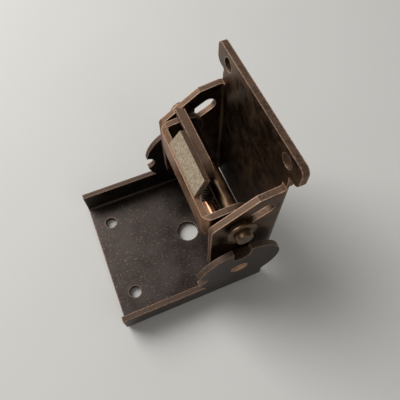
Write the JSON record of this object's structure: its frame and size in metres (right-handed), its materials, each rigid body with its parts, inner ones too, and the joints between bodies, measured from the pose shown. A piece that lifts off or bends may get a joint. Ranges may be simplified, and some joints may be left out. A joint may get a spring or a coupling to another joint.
{
  "type": "folding table leg hinge bracket",
  "caption": "Self-locking folding hinge for a table leg: table bracket, leg channel, lock pin and thumb release lever.",
  "frame": {"origin": "midway between the two table screw holes, on the face that seats against the table", "axes": "+X out of the table face, with the leg standing along -X; +Y along the hinge pin; +Z out of the leg's pocket, from the channel floor towards the table bracket's ears"},
  "size_m": [0.0559, 0.0512, 0.0672],
  "materials": {
    "bracket_metal": "satin",
    "channel_metal": "satin",
    "lever_metal": "satin",
    "copper": "polished",
    "pin_metal": "satin",
    "spring_steel": "satin"
  },
  "bodies": {
    "table_side": {"table_bracket": "bracket_metal"},
    "leg_side": {"leg_channel": "channel_metal", "pivot_pin": "copper", "pivot_washer_left": "pin_metal", "pivot_washer_right": "pin_metal"},
    "lock": {"release_lever": "lever_metal", "lock_pin": "pin_metal", "lock_washer_outer_left": "pin_metal", "lock_washer_outer_right": "pin_metal", "lock_washer_inner_left": "pin_metal", "lock_washer_inner_right": "pin_metal", "tension_spring": "spring_steel"}
  },
  "joints": [
    {"name": "leg_fold", "type": "hinge", "parent": "table_side", "child": "leg_side", "pos_m": [-0.0148, 0, -0.0442], "axis": [0, 1, 0], "range_deg": [0, 90]},
    {"name": "lock_drop", "type": "slide", "parent": "table_side", "child": "lock", "axis": [0, 0, 1], "range_m": [-0.009, 0], "deforming": ["tension_spring"]}
  ]
}
